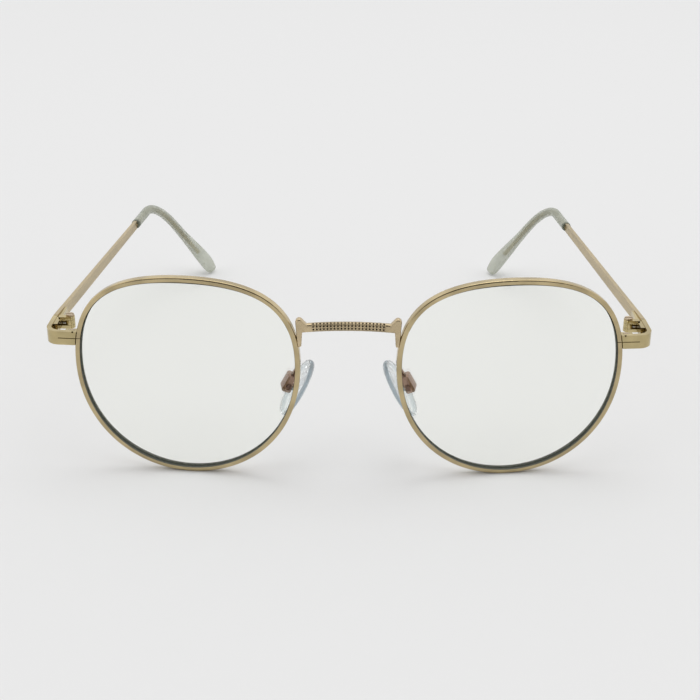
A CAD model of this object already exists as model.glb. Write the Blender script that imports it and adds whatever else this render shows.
from math import cos, pi, radians, sin, tau

import bmesh
import bpy
from mathutils import Matrix, Vector


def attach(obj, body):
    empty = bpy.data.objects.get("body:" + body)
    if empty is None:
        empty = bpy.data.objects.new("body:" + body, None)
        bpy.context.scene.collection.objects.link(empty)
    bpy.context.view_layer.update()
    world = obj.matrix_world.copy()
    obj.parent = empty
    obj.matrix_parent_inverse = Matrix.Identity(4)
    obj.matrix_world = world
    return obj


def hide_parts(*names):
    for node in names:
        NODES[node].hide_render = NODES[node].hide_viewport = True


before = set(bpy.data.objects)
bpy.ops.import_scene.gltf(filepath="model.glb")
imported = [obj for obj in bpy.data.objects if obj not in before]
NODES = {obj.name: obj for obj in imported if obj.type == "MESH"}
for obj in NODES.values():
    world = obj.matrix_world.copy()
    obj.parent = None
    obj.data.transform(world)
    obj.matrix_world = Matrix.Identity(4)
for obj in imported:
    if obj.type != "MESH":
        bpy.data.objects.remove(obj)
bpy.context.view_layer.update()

MM = 0.001
SIDES = (("right", 1), ("left", -1))

# Measures the new pieces share with the CAD ones, in millimetres
FRONT_Y = -68.13
START = Vector((69.05, FRONT_Y + 14.45, 33.6))
KNEE = Vector((61.4, FRONT_Y + 121.1, 28.2))
END = Vector((45.7, FRONT_Y + 134.95, 0.67))
BEND = 19.4
SLEEVE_START = 81.7
SLEEVE_R = 1.3
PADDLE_HALF = 3.4
PADDLE_ROUND = 3.6
PADDLE_THICK = 2.64
ARCH_TOP = (0.0, 38.45)
ARCH_END = (11.1, 37.9)
BAR_Y = FRONT_Y + 0.9
BAR_TALL = 2.0
BAR_DEEP = 1.5
BAR_ROUND = 0.5
LENS_CENTRE = (37.1, -66.0, 24.7)

# The dimpled band on the bridge: its cells, how far it stands out, and each dimple's rings as
# (radius, distance out from the bar)
CELL = 0.79
CELLS = 21
ROWS = 3
ROW_TALL = 0.64
FIRST_ROW = 0.44
PROUD = 0.1
DIMPLE = ((0.27, 0.14), (0.22, 0.09), (0.19, 0.015))
BAND_END = CELL * CELLS / 2


# ---------------------------------------------------------------- node helpers
class Shader:
    """A node material with its Principled shader, and short calls for the nodes around it."""

    def __init__(self, name, metallic=0.0, roughness=0.3, colour=(0.8, 0.8, 0.8), **sockets):
        self.material = bpy.data.materials.new(name)
        self.material.use_nodes = True
        self.tree = self.material.node_tree
        self.shader = self.tree.nodes["Principled BSDF"]
        self.set("Base Color", (*colour, 1))
        self.set("Metallic", metallic)
        self.set("Roughness", roughness)
        for socket, value in sockets.items():
            self.set(socket.replace("_", " "), value)
        self.coords = self.tree.nodes.new("ShaderNodeTexCoord").outputs["Object"]
        self.normal = self.tree.nodes.new("ShaderNodeNewGeometry").outputs["Normal"]

    def set(self, socket, value):
        self.shader.inputs[socket].default_value = value

    def link(self, source, socket):
        self.tree.links.new(source, self.shader.inputs[socket])

    def node(self, kind, inputs=(), **settings):
        made = self.tree.nodes.new(kind)
        for key, value in settings.items():
            setattr(made, key, value)
        for key, value in dict(inputs).items():
            if isinstance(value, bpy.types.NodeSocket):
                self.tree.links.new(value, made.inputs[key])
            else:
                made.inputs[key].default_value = value
        return made

    def math(self, operation, a, b=0.0):
        return self.node("ShaderNodeMath", {0: a, 1: b}, operation=operation).outputs[0]

    def vector(self, operation, a, b=(0, 0, 0)):
        return self.node("ShaderNodeVectorMath", {0: a, 1: b}, operation=operation)

    def stretch(self, scale):
        return self.node("ShaderNodeMapping", {"Vector": self.coords, "Scale": scale}).outputs[0]

    def apart(self):
        """The X, Y and Z of the point, one output each."""
        return self.node("ShaderNodeSeparateXYZ", {0: self.coords}).outputs

    def plain_colour(self):
        """The output that feeds the base colour now, so that more can be laid over it."""
        return self.shader.inputs["Base Color"].links[0].from_socket

    def noise(self, scale, detail=3.0, roughness=0.55, coords=None):
        inputs = {"Vector": coords or self.coords, "Scale": scale, "Detail": detail, "Roughness": roughness}
        return self.node("ShaderNodeTexNoise", inputs).outputs[0]

    def ramp(self, factor, low, high, out_low=0.0, out_high=1.0):
        inputs = {0: factor, 1: low, 2: high, 3: out_low, 4: out_high}
        return self.node("ShaderNodeMapRange", inputs).outputs[0]

    def mix(self, factor, a, b):
        made = self.node("ShaderNodeMix", data_type="RGBA")
        for index, value in ((0, factor), (6, a), (7, b)):
            if isinstance(value, bpy.types.NodeSocket):
                self.tree.links.new(value, made.inputs[index])
            else:
                made.inputs[index].default_value = value if index == 0 else (*value, 1)
        return made.outputs[2]

    def bump(self, height, strength, distance):
        inputs = {"Height": height, "Strength": strength, "Distance": distance}
        self.link(self.node("ShaderNodeBump", inputs).outputs[0], "Normal")


def paint(node, material):
    """Gives a CAD node, or a new piece, this one material."""
    target = NODES[node] if isinstance(node, str) else node
    target.data.materials.clear()
    target.data.materials.append(material)


# ---------------------------------------------------------------- materials
# Colours are linear. The two plastics and the lens's edge each drift between two of them.
GOLD = (0.50, 0.405, 0.235)
DEEP_GOLD = (0.50, 0.41, 0.217)
BRIDGE_GOLD = (0.53, 0.425, 0.27)
TEMPLE_GOLD = (0.48, 0.39, 0.232)
TARNISH = (0.075, 0.06, 0.04)
COPPER = (0.32, 0.215, 0.165)
SCREW = (0.50, 0.40, 0.28)
DULL_SCREW = (0.20, 0.13, 0.105)
DIMPLE_DARK = (0.022, 0.017, 0.011)
LENS_TINT = (0.90, 1.0, 0.72)
EDGE_DARK = (0.03, 0.034, 0.024)
EDGE_LIGHT = (0.06, 0.066, 0.048)
MILKY = (0.55, 0.575, 0.47)
MILKY_DEEP = (0.43, 0.45, 0.36)
CLEAR = (0.90, 0.96, 0.97)
CLEAR_DEEP = (0.82, 0.90, 0.92)
DARK_PLASTIC = (0.16, 0.18, 0.14)
PAD_SIDE = (0.19, 0.25, 0.285)
PAD_FACE = (-0.856, 0.214, -0.455)
SLEEVE_Y = MM * (START + (KNEE - START).normalized() * SLEEVE_START).y


def plated(name, colour, roughness=0.2, worn=0.0, grain=0.25):
    """Plated metal: small colour drift, faint polishing marks and fine dust-sized pits."""
    look = Shader(name, metallic=1.0, roughness=roughness, colour=colour)
    drift = look.noise(160, 2.0)
    light = tuple(min(1, c * 1.14) for c in colour)
    dark = tuple(c * 0.84 for c in colour)
    look.link(look.mix(look.ramp(drift, 0.35, 0.65), dark, light), "Base Color")
    marks = look.noise(2600, 4.0, 0.6)
    look.link(look.ramp(marks, 0.3, 0.7, roughness - 0.06, roughness + 0.1 + worn), "Roughness")
    look.bump(marks, grain, 0.00001)
    return look


def rim_metal(name, side):
    """Polished gold wire. Its inner wall, around the lens, is darkened by the groove and the lens edge."""
    look = plated(name, GOLD, 0.14)
    colour = look.plain_colour()
    centre = Vector((side * LENS_CENTRE[0], *LENS_CENTRE[1:])) * MM
    inward = look.vector("NORMALIZE", look.vector("SUBTRACT", centre, look.coords).outputs[0]).outputs[0]
    facing = look.vector("DOT_PRODUCT", inward, look.normal).outputs["Value"]
    look.link(look.mix(look.ramp(facing, 0.35, 0.75), colour, TARNISH), "Base Color")
    return look.material


def brushed(name, colour, along):
    """Metal with straight brush lines along one direction, given as the stretch of the noise."""
    look = Shader(name, metallic=1.0, roughness=0.32, colour=colour)
    lines = look.noise(1, 5.0, 0.65, look.stretch(along))
    broad = look.noise(1, 2.0, 0.5, look.stretch(tuple(a * 0.12 for a in along)))
    light = tuple(min(1, c * 1.2) for c in colour)
    dark = tuple(c * 0.78 for c in colour)
    blend = look.math("ADD", look.math("MULTIPLY", lines, 0.7), look.math("MULTIPLY", broad, 0.3))
    look.link(look.mix(look.ramp(blend, 0.38, 0.62), dark, light), "Base Color")
    look.link(look.ramp(lines, 0.3, 0.7, 0.26, 0.44), "Roughness")
    look.bump(lines, 0.35, 0.00002)
    return look.material


def bridge_metal():
    """Bridge bar: gold, a little darker along the dimpled band."""
    look = plated("gold_bridge", BRIDGE_GOLD, 0.24)
    across = look.math("ABSOLUTE", look.apart()[0])
    within = look.ramp(across, (BAND_END - 0.4) * MM, BAND_END * MM, 0.35, 0.0)
    look.link(look.mix(within, look.plain_colour(), TARNISH), "Base Color")
    return look.material


def lens_glass():
    """Clear lens with a faint green cast and the odd faint smear."""
    look = Shader("lens_clear", roughness=0.0, colour=LENS_TINT, IOR=1.2, Alpha=0.1)
    look.set("Transmission Weight", 1.0)
    smear = look.noise(70, 3.0, 0.5)
    look.link(look.ramp(smear, 0.45, 0.7, 0.0, 0.05), "Roughness")
    cast = tuple(c * 0.96 for c in LENS_TINT)
    look.link(look.mix(look.ramp(smear, 0.3, 0.7), LENS_TINT, cast), "Base Color")
    return look.material


def lens_edge():
    """The lens's ground edge, which looks dark green beside the rim."""
    look = Shader("lens_ground_edge", roughness=0.6, colour=EDGE_DARK)
    grind = look.noise(1800, 3.0, 0.6)
    look.link(look.mix(look.ramp(grind, 0.35, 0.65), EDGE_DARK, EDGE_LIGHT), "Base Color")
    look.bump(grind, 0.3, 0.00001)
    return look.material


def paint_lens(node, face, edge):
    """Clear material on the two broad faces, the edge material on everything round them."""
    mesh = NODES[node].data
    mesh.materials.clear()
    mesh.materials.append(face)
    mesh.materials.append(edge)
    for polygon in mesh.polygons:
        polygon.material_index = 0 if abs(polygon.normal.y) > 0.93 else 1


def clear_plastic(name, colour, deep, roughness, ior, alpha, cloud, clear=1.0):
    """Clear moulded plastic: faint cloudiness inside and a softly uneven gloss."""
    look = Shader(name, roughness=roughness, colour=colour, IOR=ior, Alpha=alpha)
    look.set("Transmission Weight", clear)
    haze = look.noise(cloud, 3.0, 0.5)
    look.link(look.mix(look.ramp(haze, 0.35, 0.7), colour, deep), "Base Color")
    look.link(look.ramp(haze, 0.3, 0.7, roughness * 0.7, roughness * 1.4), "Roughness")
    return look


def tip_plastic():
    """Milky translucent plastic, dark at the end where the sleeve starts and clearer behind the ear bend."""
    look = clear_plastic("clear_acetate", MILKY, MILKY_DEEP, 0.32, ior=1.45, alpha=0.76, cloud=180, clear=0.12)
    back = look.apart()[1]
    end = look.ramp(back, SLEEVE_Y + 0.0004, SLEEVE_Y + 0.0016, 1.0, 0.0)
    sleeve = look.ramp(back, SLEEVE_Y + 0.02, SLEEVE_Y + 0.035, 0.3, 0.0)
    look.link(look.mix(look.math("MAXIMUM", end, sleeve), look.plain_colour(), DARK_PLASTIC), "Base Color")
    sheer = look.ramp(back, 0.044, 0.056, 0.76, 0.6)
    look.link(look.math("MAXIMUM", look.math("MULTIPLY", end, 0.96), sheer), "Alpha")
    return look.material


def pad_plastic():
    """Clear soft pad whose thin sides hold a blue-grey tint. The tint follows the pad's own faces."""
    look = clear_plastic("clear_silicone", CLEAR, CLEAR_DEEP, 0.08, ior=1.4, alpha=0.75, cloud=500)
    mirrored = look.math("MULTIPLY", look.math("SIGN", look.apart()[0]), PAD_FACE[0])
    axis = look.node("ShaderNodeCombineXYZ", {0: mirrored, 1: PAD_FACE[1], 2: PAD_FACE[2]})
    flat = look.math("ABSOLUTE", look.vector("DOT_PRODUCT", look.normal, axis.outputs[0]).outputs["Value"])
    side = look.ramp(flat, 0.35, 0.8, 1.0, 0.0)
    look.link(look.mix(side, look.plain_colour(), PAD_SIDE), "Base Color")
    look.link(look.ramp(side, 0.0, 1.0, 0.55, 0.95), "Alpha")
    return look.material


lens_face = lens_glass()
lens_rim = lens_edge()
gold = plated("gold_polished", DEEP_GOLD, 0.15)
copper = plated("gold_copper", COPPER, 0.14, worn=0.04)
screw = plated("screw_steel", SCREW, 0.26, worn=0.06)
dull_screw = plated("screw_dull", DULL_SCREW, 0.3, worn=0.06)
tip = tip_plastic()
pad = pad_plastic()

paint("bridge", bridge_metal())
for side, sign in SIDES:
    paint(f"rim_{side}", rim_metal(f"rim_gold_{side}", sign))
    paint_lens(f"lens_{side}", lens_face, lens_rim)
    for part in ("end_piece", "rim_lock_upper", "rim_lock_lower", "hinge_leaf_front", "hinge_leaf_temple"):
        paint(f"{part}_{side}", gold.material)
    for part in ("rim_screw", "hinge_screw"):
        paint(f"{part}_{side}", screw.material)
    paint(f"pad_screw_{side}", dull_screw.material)
    for part in ("pad_box", "pad_arm"):
        paint(f"{part}_{side}", copper.material)
    paint(f"temple_{side}", brushed(f"temple_brushed_{side}", TEMPLE_GOLD, (9000, 240, 9000)))
    paint(f"nose_pad_{side}", pad)


# ---------------------------------------------------------------- temple tips
def cubic(a, b, c, d, t):
    return a * (1 - t) ** 3 + 3 * b * t * (1 - t) ** 2 + 3 * c * t ** 2 * (1 - t) + d * t ** 3


def tip_sections():
    """Point, direction and half breadth along the tip: a round sleeve, the ear bend, then the paddle."""
    bar = (KNEE - START).normalized()
    drop = (END - KNEE).normalized()
    angle = bar.angle(drop)
    cut = BEND * sin(angle / 2) / cos(angle / 2)
    bend_in, bend_out = KNEE - bar * cut, KNEE + drop * cut
    side = (drop - bar * bar.dot(drop)).normalized()
    bar_length, drop_length = (bend_in - START).length, (END - bend_out).length
    rows = []
    for i, lip in enumerate((0.0, 0.12, 0.3)):
        rows.append((START + bar * (SLEEVE_START + lip), bar, SLEEVE_R - (0.16, 0.04, 0.0)[i]))
    for i in range(1, 9):
        rows.append((START + bar * (SLEEVE_START + (bar_length - SLEEVE_START) * i / 8), bar, SLEEVE_R))
    for i in range(1, 25):
        turned = angle * i / 24
        point = bend_in + bar * (BEND * sin(turned)) + side * (BEND * (1 - cos(turned)))
        rows.append((point, bar * cos(turned) + side * sin(turned), SLEEVE_R))
    swell = drop_length - PADDLE_ROUND
    for i in range(1, 33):
        t = i / 32
        ease = t * t * (3 - 2 * t)
        rows.append((bend_out + drop * (swell * t), drop, SLEEVE_R + (PADDLE_HALF - SLEEVE_R) * ease))
    for i in range(1, 17):
        t = i / 16.3
        reach = cubic(0, 0.55 * PADDLE_ROUND, PADDLE_ROUND, PADDLE_ROUND, t)
        half = cubic(PADDLE_HALF, PADDLE_HALF, 0.55 * PADDLE_HALF, 0, t)
        rows.append((bend_out + drop * (swell + reach), drop, half))
    return rows


def temple_tip(side, sign):
    """One smooth closed skin for a translucent tip. The temple's own core shows through it."""
    form = bmesh.new()
    count = 32
    loops = []
    for point, direction, half in tip_sections():
        thin = (Vector((1, 0, 0)) - direction * direction.x).normalized()
        broad = thin.cross(direction)
        thick = min(half, PADDLE_THICK / 2)
        loop = []
        for i in range(count):
            angle = tau * i / count
            spot = point + broad * (half * cos(angle)) + thin * (thick * sin(angle))
            loop.append(form.verts.new(Vector((sign * spot.x, spot.y, spot.z)) * MM))
        loops.append(loop)
    for near, far in zip(loops, loops[1:]):
        for i in range(count):
            j = (i + 1) % count
            form.faces.new((near[i], near[j], far[j], far[i])).smooth = True
    form.faces.new(loops[0])
    form.faces.new(loops[-1]).smooth = True
    bmesh.ops.recalc_face_normals(form, faces=form.faces)
    mesh = bpy.data.meshes.new(f"clear_tip_{side}")
    form.to_mesh(mesh)
    form.free()
    made = bpy.data.objects.new(f"clear_tip_{side}", mesh)
    bpy.context.scene.collection.objects.link(made)
    mesh.materials.append(tip)
    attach(made, f"temple_{side}")
    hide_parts(f"temple_tip_{side}")


for side, sign in SIDES:
    temple_tip(side, sign)


# ---------------------------------------------------------------- pattern on the bridge
def arch_point(x):
    """Height and slope of the bridge's centre line at x, on the circle through its top and its ends."""
    drop = ARCH_TOP[1] - ARCH_END[1]
    radius = (ARCH_END[0] ** 2 + drop ** 2) / (2 * drop)
    rise = (radius ** 2 - x ** 2) ** 0.5
    return ARCH_TOP[1] - radius + rise, -x / rise


def bar_point(x, along, out):
    """Point on the bar's skin: along runs up the front face and over the rounded edge onto the top."""
    flat = BAR_TALL - 2 * BAR_ROUND
    quarter = BAR_ROUND * pi / 2
    low = -BAR_TALL / 2 + BAR_ROUND
    front = -BAR_DEEP / 2
    along -= BAR_ROUND
    if along < 0:
        angle = along / BAR_ROUND
        y = front + BAR_ROUND - (BAR_ROUND + out) * cos(angle)
        z = low + (BAR_ROUND + out) * sin(angle)
    elif along < flat:
        y, z = front - out, low + along
    elif along < flat + quarter:
        angle = (along - flat) / BAR_ROUND
        y = front + BAR_ROUND - (BAR_ROUND + out) * cos(angle)
        z = -low + (BAR_ROUND + out) * sin(angle)
    else:
        y, z = front + BAR_ROUND + along - flat - quarter, BAR_TALL / 2 + out
    height, slope = arch_point(x)
    return Vector((x - z * slope, BAR_Y + y, height + z)) * MM


def bridge_pattern():
    """Three rows of round dimples pressed into a thin raised band over the bar's front and top edge."""
    form = bmesh.new()
    steps = 12
    ring = [tau * (i + 0.5) / steps for i in range(steps)]
    known = {}

    def vertex(x, along, out):
        key = (round(x, 3), round(along, 3), round(out, 3))
        if key not in known:
            known[key] = form.verts.new(bar_point(x, along, out))
        return known[key]

    for column in range(CELLS):
        x = (column - (CELLS - 1) / 2) * CELL
        for row in range(ROWS):
            along = FIRST_ROW + (row + 0.5) * ROW_TALL
            loops = []
            for reach, out in ((None, PROUD), *DIMPLE):
                loop = []
                for angle in ring:
                    run, climb = cos(angle), sin(angle)
                    if reach is None:
                        grow = min(CELL / 2 / max(abs(run), 1e-6), ROW_TALL / 2 / max(abs(climb), 1e-6))
                        loop.append(vertex(x + run * grow, along + climb * grow, out))
                    else:
                        loop.append(vertex(x + run * reach, along + climb * reach, out))
                loops.append(loop)
            for inner, (outer_loop, inner_loop) in enumerate(zip(loops, loops[1:])):
                for i in range(steps):
                    j = (i + 1) % steps
                    face = form.faces.new((outer_loop[i], outer_loop[j], inner_loop[j], inner_loop[i]))
                    face.material_index = 1 if inner == 2 else 0
                    face.smooth = inner < 2
            form.faces.new(loops[-1]).material_index = 1
    corners = [v for v in form.verts if v.is_boundary]
    bmesh.ops.remove_doubles(form, verts=corners, dist=0.00001)
    bmesh.ops.recalc_face_normals(form, faces=form.faces)
    mesh = bpy.data.meshes.new("bridge_pattern")
    form.to_mesh(mesh)
    form.free()
    made = bpy.data.objects.new("bridge_pattern", mesh)
    bpy.context.scene.collection.objects.link(made)
    mesh.materials.append(plated("bridge_gold", BRIDGE_GOLD, 0.22).material)
    mesh.materials.append(plated("bridge_dimple", DIMPLE_DARK, 0.6).material)
    shell = made.modifiers.new("thickness", "SOLIDIFY")
    shell.thickness = 0.0002
    shell.offset = -1
    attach(made, "front")


bridge_pattern()


# ---------------------------------------------------------------- stage, light and camera
def paper_floor(name, size, grey):
    """A flat matt sheet at the height the glasses stand on."""
    mesh = bpy.data.meshes.new(name)
    form = bmesh.new()
    bmesh.ops.create_grid(form, x_segments=8, y_segments=8, size=size / 2)
    form.to_mesh(mesh)
    form.free()
    made = bpy.data.objects.new(name, mesh)
    bpy.context.scene.collection.objects.link(made)
    look = Shader(name + "_paper", roughness=0.9, colour=(grey, grey, grey))
    look.set("Specular IOR Level", 0.1)
    mesh.materials.append(look.material)


def soft_light(name, place, size, watts):
    """A round area light that points at the origin."""
    data = bpy.data.lights.new(name, "AREA")
    data.shape = "DISK"
    data.size = size
    data.energy = watts
    made = bpy.data.objects.new(name, data)
    made.location = place
    made.rotation_euler = (-Vector(place)).to_track_quat("-Z", "Y").to_euler()
    bpy.context.scene.collection.objects.link(made)


def studio_world():
    """Even pale light, brighter overhead, with a dim room in front of the glasses for the metal to mirror."""
    world = bpy.data.worlds.new("studio")
    bpy.context.scene.world = world
    world.use_nodes = True
    tree = world.node_tree
    sky = tree.nodes["Background"]
    sky.inputs["Strength"].default_value = 0.94
    way = tree.nodes.new("ShaderNodeTexCoord").outputs["Generated"]

    def shade(direction, near, far, level):
        """1 away from the direction, blending to this level around it."""
        dot = tree.nodes.new("ShaderNodeVectorMath")
        dot.operation = "DOT_PRODUCT"
        tree.links.new(way, dot.inputs[0])
        dot.inputs[1].default_value = Vector(direction).normalized()
        ramp = tree.nodes.new("ShaderNodeMapRange")
        ramp.interpolation_type = "SMOOTHSTEP"
        tree.links.new(dot.outputs["Value"], ramp.inputs[0])
        for index, value in enumerate((near, far, 1.0, level), 1):
            ramp.inputs[index].default_value = value
        return ramp.outputs[0]

    product = tree.nodes.new("ShaderNodeMath")
    product.operation = "MULTIPLY"
    tree.links.new(shade((0, -1, 0.45), 0.72, 0.93, 0.12), product.inputs[0])
    tree.links.new(shade((0, 0, 1), 0.3, 1.0, 1.25), product.inputs[1])
    tint = tree.nodes.new("ShaderNodeCombineColor")
    for index in range(3):
        tree.links.new(product.outputs[0], tint.inputs[index])
    seen = tree.nodes.new("ShaderNodeMix")
    seen.data_type = "RGBA"
    tree.links.new(tree.nodes.new("ShaderNodeLightPath").outputs["Is Camera Ray"], seen.inputs[0])
    tree.links.new(tint.outputs[0], seen.inputs[6])
    seen.inputs[7].default_value = (BACKDROP, BACKDROP, BACKDROP, 1)
    tree.links.new(seen.outputs[2], sky.inputs["Color"])


BACKDROP = 0.87
paper_floor("floor", 12.0, 0.80)
soft_light("overhead", (0.1, 0.25, 1.3), 0.7, 1.6)
studio_world()

# The camera looks down on the middle of the front. Angles are in degrees, distances in metres.
PITCH = 24.46
YAW = 0.34
ROLL = 0.25
DISTANCE = 0.3
AIM_RISE = 26.72
AIM_HEIGHT = 0.02
rise = radians(AIM_RISE)
place = Vector((0, -DISTANCE * cos(rise), AIM_HEIGHT + DISTANCE * sin(rise)))
camera_data = bpy.data.cameras.new("camera")
camera_data.sensor_width = 36
camera_data.lens = 67.12
camera_data.shift_x = 0.0022
camera_data.clip_start = 0.01
camera = bpy.data.objects.new("camera", camera_data)
turn = Matrix.Rotation(radians(YAW), 4, "Z")
tilt = Matrix.Rotation(radians(90 - PITCH), 4, "X") @ Matrix.Rotation(radians(ROLL), 4, "Z")
stand = Matrix.Translation((0, FRONT_Y * MM, 0)) @ turn @ Matrix.Translation(place)
camera.matrix_world = stand @ tilt
bpy.context.scene.collection.objects.link(camera)
bpy.context.scene.camera = camera
bpy.context.scene.view_settings.view_transform = "Standard"
